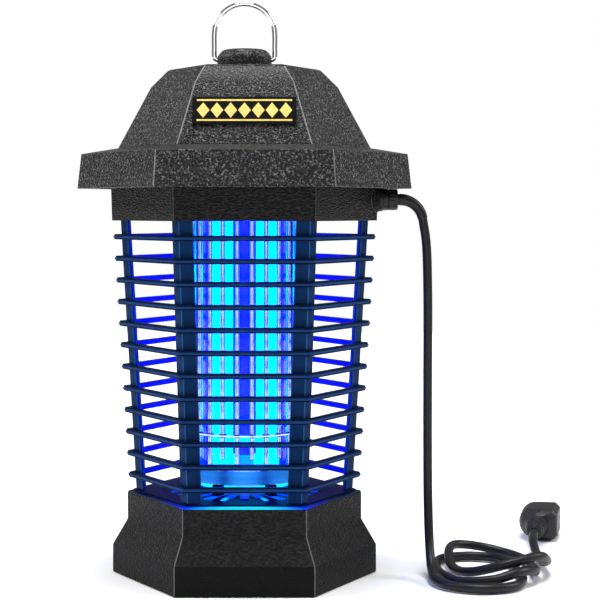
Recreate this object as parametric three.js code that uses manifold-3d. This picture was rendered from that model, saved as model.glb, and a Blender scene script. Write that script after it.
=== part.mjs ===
// Electric bug zapper, a hexagonal lantern. Millimetres, +Z up, the floor at z = 0 and the lantern's axis on Z.
// The hexagons have flats facing +Y and -Y and corners on +X and -X. Sizes given as a corner radius run from
// the axis to a corner.
import * as THREE from 'three';
import { mergeVertices } from 'three/addons/utils/BufferGeometryUtils.js';
import Module from 'manifold-3d';

const wasm = await Module();
wasm.setup();

// ---- Driving dimensions ----
const GAP = 0.3;                       // clearance between pieces that touch
const SIDES = 6;
const FLAT = Math.cos(Math.PI / SIDES); // a hexagon's flat distance over its corner radius
const ROUND = 20;                      // sides of a plain round piece

const TRAY = {
  foot: 79.2,                          // corner radius of the foot band
  footTop: 16.7,
  neck: 70.3,                          // corner radius of the neck above the slope
  neckBottom: 32,
  top: 47.9,
  wall: 2.8,
  floor: 3.4,
  rim: 9,                              // width of the flat rim that rests on the floor
  recess: 1.4,                         // depth of the hollow under the floor
  centrePad: 20,
  ledge: 38,                           // height of the ledge that carries the drop grille
};

const GRILLE = { radius: 66.6, top: 50, bottom: 48, skirtBottom: 38.3, skirtWall: 2.6 };
const SLOT = { count: 24, width: 5.2, inner: 25, outer: 45 };
const HUB = { radius: 27, top: 56.6, wall: 3, bore: 20, lug: { start: 25.5, end: 34.5, wide: 7, top: 56.7 } };

const POST = { foot: 65.1, footZ: 50.3, topZ: 213.6, lean: 8.9 / 155, leg: 8.2, thick: 2.1 };
const RING = { count: 12, topZ: 201.3, pitch: 12.97, topRadius: 78.6, step: 0.8, thick: 3.2 };

const GRID = {
  radius: 33,                          // the circle on which the rods stand
  rods: 24,
  rod: 1.35,                           // rod radius
  drumBottom: 57,
  drumTop: 65.8,
  drumWall: 1.6,
  freeBottom: 72,                      // lower ends of the hanging rods
  returnTop: 213.4,
  hoopZ: 85.8,
  hoop: 0.5,                           // wire radius of the spacer hoop
  liveRingZ: 217.6,
};

const INSULATOR = { radius: 44, bottom: 211, top: 213.7, window: [44, 24] };
const LAMP = { spread: 13.1, tube: 6.2, bottom: 66.6, bridge: 3, bridgeUp: 12 };
const CRADLE = { cup: 7.7, top: 70.6, web: 5 };
const SLEEVE = { radius: 25, wall: 1.4, bottom: 57, top: 210.7 };
const LAMP_BASE = { size: [40, 20], bottom: 210.7, top: 226 };
const SOCKET = { size: [44, 26], bottom: 226.3, top: 238 };
const PIN = { radius: 1.2, spread: 12, length: 7 };

const HOUSING = {
  bottom: 211,
  bottomRadius: 79.5,
  flare: 230,
  topRadius: 80.1,
  top: 250.2,
  wall: 2.8,
  plate: 214,                          // underside of the ceiling plate
  plateTop: 216.5,
  hatch: 41,                           // corner radius of the opening in the plate
};
const ROOF = {
  brimBottom: 230,
  brim: 100.4,
  brimTop: 250.8,
  brimTopRadius: 98,
  ledge: 75.9,
  ledgeZ: 254.3,
  shoulder: 56.2,
  shoulderZ: 290.7,
  crown: 45.1,
  crownZ: 301.6,
  wall: 2.6,
};
const BOSS = { radius: 16.3, top: 313.5, edge: 2 };
const LOOP = { wire: 1.5, half: 18.1, top: 342.4, pivotZ: 307.3, bend: 2.2, pinEnd: 12, rise: 7 };
const BADGE = { width: 59, bottom: 265.4, top: 281.2, thick: 1 };

const GLAND = { z: 223.5, flange: 7.1, flangeStart: 80.7, flangeEnd: 86, nut: 6.3, nutEnd: 91.6, shank: 5 };
const BOOT = { straight: 1.6, bend: 13.5, turn: 80, root: 3.9, tip: 3.1 };
const CORD = { radius: 2.75, sides: 10, steps: 80 };

const BOARD = { size: [92, 62], bottom: 242, thick: 1.6, post: 3.5, holes: [40, 25], hole: 1.6 };
const TRANSFORMER = { at: [-22, 8], core: [24, 20], height: 18, winding: 8, windingAt: 7, margin: 3 };
const CHOKE = { at: [6, -14], radius: 8.5, height: 13 };
const CAPACITOR = { at: [[24, 12], [24, -4]], size: [16, 7], height: 14 };
const FUSE = { at: [-22, -22], radius: 2.6, half: 10 };
const SCREW = { head: 3.4, headThick: 2.2, shank: 1.5, length: 12, ring: 58, post: 4.2 };

// The cord's centre line, from the boot's tip down to the floor, twice round in loose loops and on to the
// plug. Where it passes over itself it rises in a long low hump.
const CORD_ROUTE = [
  [106.9, 0, 212],
  [109, 0, 198],
  [110, 0, 168],
  [110, 0, 120],
  [110, 0, 76],
  [110, -2.5, 44],
  [110, -10.5, 19.5],
  [110, -23, 6.8],
  [110.4, -38, 3.6],
  [118, -53, 3],
  [136, -60.5, 3],
  [154, -53, 3],
  [161.5, -35, 3],
  [162, -12, 3],
  [162, 8, 3],
  [155.6, 24.6, 3],
  [139, 31.3, 3],
  [122.6, 24.4, 3],
  [116, 8, 3],
  [116, -20, 3],
  [124, -40.5, 3],
  [143.5, -49, 5.8],
  [158, -45, 9.2],
  [168, -34, 8],
  [171.5, -18, 4],
  [171.5, 20, 3],
  [165, 36.6, 3.2],
  [148.5, 43.6, 6.2],
  [132, 37, 9],
  [125.2, 20, 8.4],
  [125, -5, 3.4],
  [133, -29, 6],
  [152.5, -37.5, 12.2],
  [171.5, -29.5, 15.2],
  [180, -10.5, 8.8],
  [181, 12, 3.6],
  [180.8, 30, 4.6],
  [181.6, 48, 9],
  [184.4, 62, 10.6],
  [185.4, 66, 10.7],
];

// The plug lies on its broad side. The blades and the ground pin are to the usual 15 A, 125 V pattern.
const PLUG = {
  at: [185.4, 66],
  heading: 76,
  width: 26,
  height: 21,
  body: 34,
  relief: 24,
  reliefCord: 4.2,
  reliefBody: 7,
  blade: [17.5, 6.35, 1.5],
  bladeApart: 12.7,
  bladeOffset: -4.5,
  pinRadius: 2.4,
  pinLength: 20.5,
  pinOffset: 7.4,
};

// ---- Finishes ----
const finish = (color, roughness, metalness = 0, extra = {}) =>
  new THREE.MeshStandardMaterial({ color, roughness, metalness, ...extra });
const FINISH = {
  grained: finish(0x262423, 0.62),
  guard: finish(0x15294f, 0.4),
  steel: finish(0xb8bcc4, 0.3, 1),
  chrome: finish(0xe2e4e8, 0.12, 1),
  nickel: finish(0xc9c6bf, 0.25, 1),
  lamp: finish(0x20f4ff, 0.3, 0, { emissive: 0x18e6ff }),
  sleeve: finish(0x1030e0, 0.2, 0, { transparent: true, opacity: 0.4 }),
  white: finish(0xe9ecec, 0.45),
  rubber: finish(0x1a1a1b, 0.6),
  board: finish(0x1f6b3a, 0.5),
  dark: finish(0x222222, 0.5),
  copper: finish(0xb0703a, 0.4, 1),
  film: finish(0xb4372a, 0.45),
  glassFuse: finish(0xd9dccf, 0.2),
  badge: finish(0x101010, 0.35),
};

// ---- Geometry helpers ----
function solid(geometry) {
  const plain = geometry.clone();
  plain.deleteAttribute('normal');
  plain.deleteAttribute('uv');
  const merged = mergeVertices(plain, 1e-3);
  const index = merged.index.array;
  const kept = [];
  for (let i = 0; i < index.length; i += 3) {
    const [a, b, c] = [index[i], index[i + 1], index[i + 2]];
    if (a !== b && b !== c && c !== a) kept.push(a, b, c);
  }
  return new wasm.Manifold(new wasm.Mesh({
    numProp: 3,
    vertProperties: new Float32Array(merged.attributes.position.array),
    triVerts: new Uint32Array(kept),
  }));
}

function geometryOf(manifold) {
  const mesh = manifold.getMesh();
  const geometry = new THREE.BufferGeometry();
  geometry.setAttribute('position', new THREE.BufferAttribute(new Float32Array(mesh.vertProperties), 3));
  geometry.setIndex(new THREE.BufferAttribute(new Uint32Array(mesh.triVerts), 1));
  geometry.computeVertexNormals();
  return geometry;
}

const join = (...geometries) => geometryOf(geometries.map(solid).reduce((all, next) => all.add(next)));
const cut = (body, ...tools) =>
  geometryOf(tools.map(solid).reduce((rest, tool) => rest.subtract(tool), solid(body)));

// Revolves a profile of [radius, z] points about Z. With six sides it makes hexagonal shells whose corners
// lie on the X axis. A profile that starts away from the axis is closed on itself.
function revolve(profile, sides = ROUND) {
  const closed = profile[0][0] > 0;
  const points = closed ? [...profile, profile[0]] : profile;
  const area = points.reduce((sum, [r, z], i) => {
    const [nextR, nextZ] = points[(i + 1) % points.length];
    return sum + r * nextZ - nextR * z;
  }, 0);
  const ordered = area > 0 ? points : [...points].reverse();
  const outline = ordered.map(([r, z]) => new THREE.Vector2(r, z));
  return new THREE.LatheGeometry(outline, sides, Math.PI / 2).rotateX(Math.PI / 2);
}

const tube = (outer, inner, bottom, top, sides = ROUND) =>
  revolve([[outer, bottom], [outer, top], [inner, top], [inner, bottom]], sides);

function rod(radius, bottom, top, sides = 8) {
  return new THREE.CylinderGeometry(radius, radius, top - bottom, sides)
    .rotateX(Math.PI / 2)
    .translate(0, 0, (bottom + top) / 2);
}

function rodAlongX(radius, start, end, sides = ROUND) {
  return new THREE.CylinderGeometry(radius, radius, end - start, sides)
    .rotateZ(Math.PI / 2)
    .translate((start + end) / 2, 0, 0);
}

function block(width, depth, bottom, top) {
  return new THREE.BoxGeometry(width, depth, top - bottom).translate(0, 0, (bottom + top) / 2);
}

const around = (count, make, phase = 0) =>
  Array.from({ length: count }, (_, i) => make(i).rotateZ((i + phase) * 2 * Math.PI / count));

function circleShape(radius, sides) {
  const shape = new THREE.Shape();
  for (let i = 0; i < sides; i += 1) {
    const angle = (i + 0.5) * 2 * Math.PI / sides;
    const [x, y] = [radius * Math.cos(angle), radius * Math.sin(angle)];
    if (i === 0) shape.moveTo(x, y);
    else shape.lineTo(x, y);
  }
  shape.closePath();
  return shape;
}

// Sweeps a round section along a curve.
const sweep = (curve, radius, sides, steps) =>
  new THREE.ExtrudeGeometry(circleShape(radius, sides), { extrudePath: curve, steps, bevelEnabled: false });

// ---- The model ----
const model = new THREE.Group();
model.name = 'bug_zapper';

function piece(name, geometry, material, parent = model) {
  const mesh = new THREE.Mesh(geometry, material);
  mesh.name = name;
  parent.add(mesh);
  return mesh;
}

// ---- Collecting tray: the foot, open on top ----
function makeTray() {
  const inner = TRAY.neck - TRAY.wall;
  const lowInner = TRAY.foot - TRAY.wall;
  const shell = revolve([
    [0, 0],
    [TRAY.centrePad, 0],
    [TRAY.centrePad, TRAY.recess],
    [TRAY.foot - TRAY.rim, TRAY.recess],
    [TRAY.foot - TRAY.rim, 0],
    [TRAY.foot, 0],
    [TRAY.foot, TRAY.footTop],
    [TRAY.neck, TRAY.neckBottom],
    [TRAY.neck, TRAY.top],
    [inner, TRAY.top],
    [inner, TRAY.ledge],
    [inner - 3, TRAY.ledge],
    [inner - 3, TRAY.ledge - 3],
    [inner, TRAY.ledge - 6],
    [lowInner, TRAY.footTop + 0.8],
    [lowInner, TRAY.floor],
    [0, TRAY.floor],
  ], SIDES);
  piece('base_tray', geometryOf(solid(shell)), FINISH.grained);
}

// ---- Drop grille: the slotted deck that the insects fall through, and its skirt inside the tray's neck ----
function makeDropGrille() {
  const { radius, top, bottom, skirtBottom, skirtWall } = GRILLE;
  const deck = revolve([
    [0, bottom],
    [radius, bottom],
    [radius, top],
    [0, top],
  ], SIDES);
  const slotLength = SLOT.outer - SLOT.inner;
  const slots = around(SLOT.count, () =>
    block(slotLength, SLOT.width, bottom - 1, top + 1).translate(SLOT.inner + slotLength / 2, 0, 0), 6);
  const drain = rod(HUB.bore, bottom - 1, top + 1, ROUND);
  piece('drop_grille', cut(deck, drain, ...slots), FINISH.guard);
  const skirt = tube(radius, radius - skirtWall, skirtBottom, bottom - GAP, SIDES);
  piece('drop_skirt', geometryOf(solid(skirt)), FINISH.guard);
}

// ---- Hub under the lamp's foot, with six lugs that the grid's drum stands on ----
function makeHub() {
  const { radius, top, wall, bore, lug } = HUB;
  const foot = GRILLE.top + GAP;
  const ring = revolve([
    [radius - wall, foot],
    [radius, foot],
    [radius, top],
    [bore - 6, top],
    [bore - 6, top - 2],
    [radius - wall, top - 2],
  ]);
  const lugs = around(SIDES, () => block(lug.end - lug.start, lug.wide, foot, lug.top)
    .translate((lug.start + lug.end) / 2, 0, 0));
  piece('grid_hub', join(ring, ...lugs), FINISH.white);
}

// ---- Guard: six leaning corner posts and twelve hexagonal rings outside them ----
function postGeometry() {
  const { leg, thick, footZ, topZ, lean } = POST;
  const along = new THREE.Vector2(-0.5, FLAT).multiplyScalar(leg);
  const inward = new THREE.Vector2(-FLAT, -0.5).multiplyScalar(thick);
  const shape = new THREE.Shape();
  shape.moveTo(0, 0);
  shape.lineTo(along.x, along.y);
  shape.lineTo(along.x + inward.x, along.y + inward.y);
  shape.lineTo(-thick / FLAT, 0);
  shape.lineTo(along.x + inward.x, -along.y - inward.y);
  shape.lineTo(along.x, -along.y);
  shape.closePath();
  const shear = new THREE.Matrix4().makeShear(0, 0, 0, 0, lean, 0);
  return new THREE.ExtrudeGeometry(shape, { depth: topZ - footZ, bevelEnabled: false })
    .applyMatrix4(shear)
    .translate(POST.foot, 0, footZ);
}

function makeGuard() {
  for (let i = 0; i < SIDES; i += 1) {
    piece(`guard_post_${i + 1}`, postGeometry(), FINISH.guard).rotation.z = i * 2 * Math.PI / SIDES;
  }
  for (let i = 0; i < RING.count; i += 1) {
    const z = RING.topZ - i * RING.pitch;
    const outer = RING.topRadius - i * RING.step;
    const top = z + RING.thick / 2;
    const inner = POST.foot + (top - POST.footZ) * POST.lean + GAP / FLAT;
    const ring = tube(outer, inner, z - RING.thick / 2, top, SIDES);
    piece(`guard_ring_${String(i + 1).padStart(2, '0')}`, geometryOf(solid(ring)), FINISH.guard);
  }
}

// ---- High-voltage grid: rods on one circle, every second one live ----
const rodAt = (bottom, top) => rod(GRID.rod, bottom, top).translate(GRID.radius, 0, 0);

function makeGrid() {
  const half = GRID.rods / 2;
  const { radius, drumBottom, drumTop, drumWall, rod: wire } = GRID;
  const drum = revolve([
    [radius + wire, drumBottom],
    [radius + wire, drumTop],
    [radius - wire - 0.6, drumTop],
    [radius - wire - 0.6, drumBottom + drumWall],
    [SLEEVE.radius + 1, drumBottom + drumWall],
    [SLEEVE.radius + 1, drumBottom],
  ], 36);
  const standing = around(half, () => rodAt(drumTop - 4, GRID.returnTop), -0.25);
  piece('grid_electrode_return', join(drum, ...standing), FINISH.steel);

  const ring = tube(radius + 1.6, radius - 1.6, GRID.liveRingZ - 0.8, GRID.liveRingZ + 0.8, 36);
  const hanging = around(half, () => rodAt(GRID.freeBottom, GRID.liveRingZ), 0.25);
  piece('grid_electrode_live', join(ring, ...hanging), FINISH.steel);

  const hoopRadius = radius + 2.4;
  const [hoopBottom, hoopTop] = [GRID.hoopZ - GRID.hoop, GRID.hoopZ + GRID.hoop];
  const hoop = tube(hoopRadius + GRID.hoop, hoopRadius - GRID.hoop, hoopBottom, hoopTop, 48);
  const eyelets = around(GRID.rods, () =>
    rod(wire + GAP + 0.9, GRID.hoopZ - 0.9, GRID.hoopZ + 0.9).translate(radius, 0, 0), 0.5);
  const holes = around(GRID.rods, () =>
    rod(wire + GAP, GRID.hoopZ - 2, GRID.hoopZ + 2, 6).translate(radius, 0, 0), 0.5);
  piece('grid_spacer_hoop', cut(join(hoop, ...eyelets), ...holes), FINISH.white);
}

function makeUpperInsulator() {
  const { radius, bottom, top, window: [width, depth] } = INSULATOR;
  const disc = rod(radius, bottom, top, 36);
  const holes = around(GRID.rods, () =>
    rod(GRID.rod + GAP, bottom - 1, top + 1).translate(GRID.radius, 0, 0), 0.5);
  piece('grid_upper_insulator', cut(disc, block(width, depth, bottom - 1, top + 1), ...holes), FINISH.white);
}

// ---- Lamp: a twin tube in a foot cradle, its base and pins in a socket, a tinted sleeve round it ----
function makeLamp() {
  const { spread, tube: radius, bottom } = LAMP;
  const endTop = LAMP_BASE.bottom - GAP;
  const leg = () => revolve([
    [0, bottom],
    [radius * 0.55, bottom + 0.9],
    [radius, bottom + 4],
    [radius, endTop],
    [0, endTop],
  ], 16);
  const legs = [-1, 1].map((side) => leg().translate(side * spread, 0, 0));
  const bridge = rodAlongX(LAMP.bridge, -spread, spread, 12).translate(0, 0, bottom + LAMP.bridgeUp);
  piece('lamp_tube', join(...legs, bridge), FINISH.lamp);

  const cup = () => revolve([
    [0, SLEEVE.bottom + 3],
    [CRADLE.cup, SLEEVE.bottom + 3],
    [CRADLE.cup, CRADLE.top],
    [radius + GAP, CRADLE.top],
    [radius + GAP, bottom - GAP],
    [0, bottom - GAP],
  ], 16);
  const cups = [-1, 1].map((side) => cup().translate(side * spread, 0, 0));
  const web = block(2 * (spread - radius - 1.2), CRADLE.web, SLEEVE.bottom + 3, CRADLE.top - 1);
  const foot = rod(SLEEVE.radius - SLEEVE.wall - GAP - 0.1, HUB.top + GAP, SLEEVE.bottom + 3.6, 28);
  piece('lamp_cradle', join(...cups, web, foot), FINISH.white);

  const [width, depth] = LAMP_BASE.size;
  piece('lamp_base', block(width, depth, LAMP_BASE.bottom, LAMP_BASE.top), FINISH.white);
  [-1, 1].forEach((side, i) => {
    const pin = rod(PIN.radius, LAMP_BASE.top + GAP, LAMP_BASE.top + PIN.length);
    piece(`lamp_pin_${i + 1}`, pin, FINISH.nickel).position.x = side * PIN.spread;
  });
  const pinHoles = [-1, 1].map((side) =>
    rod(PIN.radius + GAP, SOCKET.bottom - 1, SOCKET.bottom + PIN.length + 1).translate(side * PIN.spread, 0, 0));
  const shell = block(...SOCKET.size, SOCKET.bottom, SOCKET.top);
  piece('lamp_socket', cut(shell, ...pinHoles), FINISH.white);
  piece('lamp_sleeve', geometryOf(solid(tube(
    SLEEVE.radius, SLEEVE.radius - SLEEVE.wall, SLEEVE.bottom, SLEEVE.top, 32))), FINISH.sleeve);
}

// ---- Upper housing: the collar, with the ceiling plate that carries the grid and the board ----
function makeHousing() {
  const { bottom, bottomRadius, flare, topRadius, top, wall, plate, plateTop, hatch } = HOUSING;
  const shell = revolve([
    [bottomRadius, bottom],
    [topRadius, flare],
    [topRadius, top],
    [topRadius - wall, top],
    [topRadius - wall, plateTop],
    [hatch, plateTop],
    [hatch, plate],
    [bottomRadius - wall, plate],
    [bottomRadius - wall, bottom],
  ], SIDES);
  const glandPad = rodAlongX(GLAND.flange + 0.4, 72, GLAND.flangeStart - GAP).translate(0, 0, GLAND.z);
  const [holeX, holeY] = BOARD.holes;
  const boardPosts = [[1, 1], [1, -1], [-1, 1], [-1, -1]].map(([x, y]) =>
    rod(BOARD.post, plateTop - 1, BOARD.bottom - GAP, 12).translate(x * holeX, y * holeY, 0));
  const glandBore = rodAlongX(GLAND.shank + GAP, 60, 90).translate(0, 0, GLAND.z);
  const screwHoles = around(3, () =>
    rod(SCREW.shank + GAP, plate - 1, plateTop + 1, 10).translate(SCREW.ring, 0, 0), 0.25);
  piece('upper_housing', cut(join(shell, glandPad, ...boardPosts), glandBore, ...screwHoles), FINISH.grained);
}

// ---- Roof: a six-sided brim, a hollow cover with three screw posts inside, and a boss on the crown ----
function makeRoof() {
  const { brimBottom, brim, brimTop, brimTopRadius, ledge, ledgeZ, shoulder, shoulderZ, crown, crownZ } = ROOF;
  const { wall } = ROOF;
  piece('roof_brim', geometryOf(solid(revolve([
    [brim - wall, brimBottom],
    [brim, brimBottom],
    [brimTopRadius, brimTop],
    [ledge + GAP, ledgeZ],
    [ledge + GAP, ledgeZ - wall],
    [brimTopRadius - wall, brimTop - wall],
  ], SIDES))), FINISH.grained);

  const outside = revolve([
    [0, ledgeZ - wall],
    [ledge, ledgeZ - wall],
    [ledge, ledgeZ],
    [shoulder, shoulderZ],
    [crown, crownZ],
    [0, crownZ],
  ], SIDES);
  const inside = revolve([
    [0, ledgeZ - wall - 1],
    [ledge - 1.6, ledgeZ - wall - 1],
    [ledge - 1.6, ledgeZ - wall],
    [shoulder - 1.9, shoulderZ - 1.8],
    [crown - 1.1, crownZ - wall],
    [0, crownZ - wall],
  ], SIDES);
  const postFoot = HOUSING.plateTop + GAP;
  const posts = around(3, () => rod(SCREW.post, postFoot, shoulderZ, 12).translate(SCREW.ring, 0, 0), 0.25);
  const lowPosts = around(3, () => rod(SCREW.post, postFoot, ledgeZ, 12).translate(SCREW.ring, 0, 0), 0.25);
  const pilots = around(3, () =>
    rod(SCREW.shank + GAP, postFoot - 1, postFoot + SCREW.length, 10).translate(SCREW.ring, 0, 0), 0.25);
  const shell = cut(outside, cut(inside, ...posts));
  piece('roof_cover', cut(join(shell, ...lowPosts), ...pilots), FINISH.grained);

  const boss = revolve([
    [0, crownZ + GAP],
    [BOSS.radius, crownZ + GAP],
    [BOSS.radius, BOSS.top - BOSS.edge],
    [BOSS.radius - 0.6, BOSS.top - 0.6],
    [BOSS.radius - BOSS.edge, BOSS.top],
    [0, BOSS.top],
  ], 32);
  const pivots = [-1, 1].map((side) =>
    rodAlongX(LOOP.wire + GAP, LOOP.pinEnd - GAP, BOSS.radius + 2, 16).rotateZ(side < 0 ? Math.PI : 0)
      .translate(0, 0, LOOP.pivotZ));
  piece('hanger_boss', cut(boss, ...pivots), FINISH.grained);

  const headTop = HOUSING.plate - GAP;
  for (let i = 0; i < 3; i += 1) {
    const head = rod(SCREW.head, headTop - SCREW.headThick, headTop, 12);
    const shank = rod(SCREW.shank, headTop - 0.5, headTop + SCREW.length);
    const angle = (i + 0.25) * 2 * Math.PI / 3;
    piece(`roof_screw_${i + 1}`, join(head, shank), FINISH.steel)
      .position.set(SCREW.ring * Math.cos(angle), SCREW.ring * Math.sin(angle), 0);
  }
}

// ---- Hanging loop: bent wire, its two ends turned inwards as pivots in the boss ----
function makeLoop() {
  const { wire, half, top, pivotZ, bend, pinEnd } = LOOP;
  const archZ = top - wire - half;
  const right = [[pinEnd, pivotZ], [pinEnd + 2, pivotZ], [half - bend, pivotZ]];
  for (const angle of [-60, -30, 0]) {
    const turn = THREE.MathUtils.degToRad(angle);
    right.push([half - bend + bend * Math.cos(turn), pivotZ + bend + bend * Math.sin(turn)]);
  }
  right.push([half, pivotZ + LOOP.rise]);
  const arch = [];
  for (let angle = 0; angle <= 180; angle += 15) {
    const turn = THREE.MathUtils.degToRad(angle);
    arch.push([half * Math.cos(turn), archZ + half * Math.sin(turn)]);
  }
  const left = right.map(([x, z]) => [-x, z]).reverse();
  const points = [...right, ...arch, ...left].map(([x, z]) => new THREE.Vector3(x, 0, z));
  piece('hanging_loop', sweep(new THREE.CatmullRomCurve3(points), wire, 8, 72), FINISH.chrome);
}

// ---- Badge plate on the front slope ----
function makeBadge() {
  const slope = (z) => {
    const share = (z - ROOF.ledgeZ) / (ROOF.shoulderZ - ROOF.ledgeZ);
    return FLAT * (ROOF.ledge + share * (ROOF.shoulder - ROOF.ledge));
  };
  const { width, bottom, top, thick } = BADGE;
  const run = slope(bottom) - slope(top);
  const rise = top - bottom;
  const lean = Math.atan2(run, rise);
  const out = GAP + thick / 2;
  const plate = piece('badge', new THREE.BoxGeometry(width, thick, Math.hypot(run, rise)), FINISH.badge);
  plate.rotation.x = -lean;
  const depth = (slope(bottom) + slope(top)) / 2 + out * Math.cos(lean);
  plate.position.set(0, -depth, (bottom + top) / 2 + out * Math.sin(lean));
}

// ---- Lamp driver and high-voltage doubler on a board above the ceiling plate ----
function makeElectronics() {
  const [width, depth] = BOARD.size;
  const top = BOARD.bottom + BOARD.thick;
  const screwHoles = [[1, 1], [1, -1], [-1, 1], [-1, -1]].map(([x, y]) =>
    rod(BOARD.hole, BOARD.bottom - 1, top + 1).translate(x * BOARD.holes[0], y * BOARD.holes[1], 0));
  piece('circuit_board', cut(block(width, depth, BOARD.bottom, top), ...screwHoles), FINISH.board);

  const seat = top + GAP;
  const place = (mesh, [x, y]) => mesh.position.set(x, y, 0);
  const { core, height, winding, windingAt, margin } = TRANSFORMER;
  const coil = rod(winding, seat + margin, seat + height - margin, 16).translate(0, windingAt, 0);
  const transformer = join(block(...core, seat, seat + height), coil);
  place(piece('hv_transformer', transformer, FINISH.copper), TRANSFORMER.at);
  place(piece('lamp_choke', rod(CHOKE.radius, seat, seat + CHOKE.height, 16), FINISH.dark), CHOKE.at);
  CAPACITOR.at.forEach((at, i) => {
    const body = block(...CAPACITOR.size, seat, seat + CAPACITOR.height);
    place(piece(`hv_capacitor_${i + 1}`, body, FINISH.film), at);
  });
  const fuse = rodAlongX(FUSE.radius, -FUSE.half, FUSE.half, 12).translate(0, 0, seat + FUSE.radius);
  place(piece('mains_fuse', fuse, FINISH.glassFuse), FUSE.at);
}

// ---- Cable gland on the right-hand corner of the collar, and the boot that turns the cord down ----
function makeGland() {
  const { z, flange, flangeStart, flangeEnd, nut, nutEnd, shank } = GLAND;
  const bore = () => rodAlongX(CORD.radius + 0.4, 50, 120, 12);
  const body = join(rodAlongX(flange, flangeStart, flangeEnd), rodAlongX(shank, 68, flangeStart + 1));
  piece('gland_body', cut(body, bore()), FINISH.rubber).position.z = z;
  piece('gland_nut', cut(rodAlongX(nut, flangeEnd + GAP, nutEnd), bore()), FINISH.rubber).position.z = z;
}

function bootFrame(distance) {
  const turned = Math.max(0, distance - BOOT.straight) / BOOT.bend;
  const start = GLAND.nutEnd + GAP;
  const straight = Math.min(distance, BOOT.straight);
  return {
    x: start + straight + BOOT.bend * Math.sin(turned),
    z: GLAND.z - BOOT.bend * (1 - Math.cos(turned)),
    turned,
  };
}

const BOOT_LENGTH = BOOT.straight + BOOT.bend * THREE.MathUtils.degToRad(BOOT.turn);

function makeBoot() {
  const geometry = new THREE.CylinderGeometry(1, 1, 1, 16, 10);
  const spots = geometry.attributes.position;
  for (let i = 0; i < spots.count; i += 1) {
    const share = spots.getY(i) + 0.5;
    const radius = BOOT.root + share * (BOOT.tip - BOOT.root);
    const { x, z, turned } = bootFrame(share * BOOT_LENGTH);
    const across = spots.getX(i) * radius;
    const side = spots.getZ(i) * radius;
    spots.setXYZ(i, x + across * Math.sin(turned), side, z + across * Math.cos(turned));
  }
  piece('cord_boot', geometryOf(solid(geometry)), FINISH.rubber);
}

// ---- Power cord and its plug, lying on the floor ----
function makeCord() {
  const points = CORD_ROUTE.map((point) => new THREE.Vector3(...point));
  const curve = new THREE.CatmullRomCurve3(points, false, 'centripetal');
  piece('power_cord', sweep(curve, CORD.radius, CORD.sides, CORD.steps), FINISH.rubber);
}

function makePlug() {
  const { at: [x, y], heading, width, height, relief, body } = PLUG;
  const plug = new THREE.Group();
  plug.position.set(x, y, height / 2 + 0.1);
  plug.rotation.z = THREE.MathUtils.degToRad(heading);
  model.add(plug);

  const reliefPiece = new THREE.CylinderGeometry(PLUG.reliefCord, PLUG.reliefBody, relief, 16).rotateZ(Math.PI / 2);
  piece('plug_strain_relief', reliefPiece.translate(GAP + relief / 2, 0, 0), FINISH.rubber, plug);

  const start = relief + 2 * GAP;
  const outline = new THREE.Shape();
  const round = height / 2;
  outline.moveTo(-width / 2 + 3, -round);
  outline.lineTo(width / 2 - round, -round);
  outline.absarc(width / 2 - round, 0, round, -Math.PI / 2, Math.PI / 2, false);
  outline.lineTo(-width / 2 + 3, round);
  outline.lineTo(-width / 2, round - 3);
  outline.lineTo(-width / 2, -round + 3);
  outline.closePath();
  const shell = new THREE.ExtrudeGeometry(outline, { depth: body, bevelEnabled: false, curveSegments: 10 });
  shell.rotateX(Math.PI / 2).rotateZ(Math.PI / 2);
  piece('plug_body', shell.translate(start, 0, 0), FINISH.rubber, plug);

  const face = start + body + GAP;
  const { blade, bladeOffset, bladeApart, pinRadius, pinLength, pinOffset } = PLUG;
  ['line', 'neutral'].forEach((name, i) => {
    const side = i === 0 ? 1 : -1;
    const strip = new THREE.BoxGeometry(...blade).translate(face + blade[0] / 2, bladeOffset, side * bladeApart / 2);
    piece(`plug_blade_${name}`, strip, FINISH.nickel, plug);
  });
  const pin = rodAlongX(pinRadius, face, face + pinLength, 14).translate(0, pinOffset, 0);
  piece('plug_ground_pin', pin, FINISH.nickel, plug);
}

makeTray();
makeDropGrille();
makeHub();
makeGuard();
makeGrid();
makeUpperInsulator();
makeLamp();
makeHousing();
makeRoof();
makeLoop();
makeBadge();
makeElectronics();
makeGland();
makeBoot();
makeCord();
makePlug();

export default model;
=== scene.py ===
"""The finished surfaces of an electric insect killer, a six-sided lantern, made in metres round the frame.

The frame has the lantern's axis on Z, the floor at z = 0, the badge towards -Y and the cord's corner on +X.
Profiles and outlines are given in millimetres and scaled when a mesh is made. Hexagon sizes are corner radii.
"""

import math

import bmesh
import bpy
from mathutils import Matrix, Vector


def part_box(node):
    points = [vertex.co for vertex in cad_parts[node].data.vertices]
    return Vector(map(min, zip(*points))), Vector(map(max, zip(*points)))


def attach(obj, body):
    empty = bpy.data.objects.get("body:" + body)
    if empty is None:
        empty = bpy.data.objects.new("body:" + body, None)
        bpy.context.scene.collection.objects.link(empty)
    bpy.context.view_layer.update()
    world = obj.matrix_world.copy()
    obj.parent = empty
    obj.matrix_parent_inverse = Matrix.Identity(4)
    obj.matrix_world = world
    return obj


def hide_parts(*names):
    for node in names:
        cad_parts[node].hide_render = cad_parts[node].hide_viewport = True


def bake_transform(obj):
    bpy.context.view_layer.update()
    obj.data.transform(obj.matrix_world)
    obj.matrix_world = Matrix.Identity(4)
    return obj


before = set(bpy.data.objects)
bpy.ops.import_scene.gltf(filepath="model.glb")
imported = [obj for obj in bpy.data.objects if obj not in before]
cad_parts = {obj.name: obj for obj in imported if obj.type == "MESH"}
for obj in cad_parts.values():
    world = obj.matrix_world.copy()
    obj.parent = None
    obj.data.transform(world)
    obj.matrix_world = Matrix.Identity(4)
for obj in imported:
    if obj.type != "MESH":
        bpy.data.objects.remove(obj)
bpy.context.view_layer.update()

MM = 0.001
LEVEL = 0.2                          # an edge that rises less than this share of its length counts as level
SIDES = 6
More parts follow.
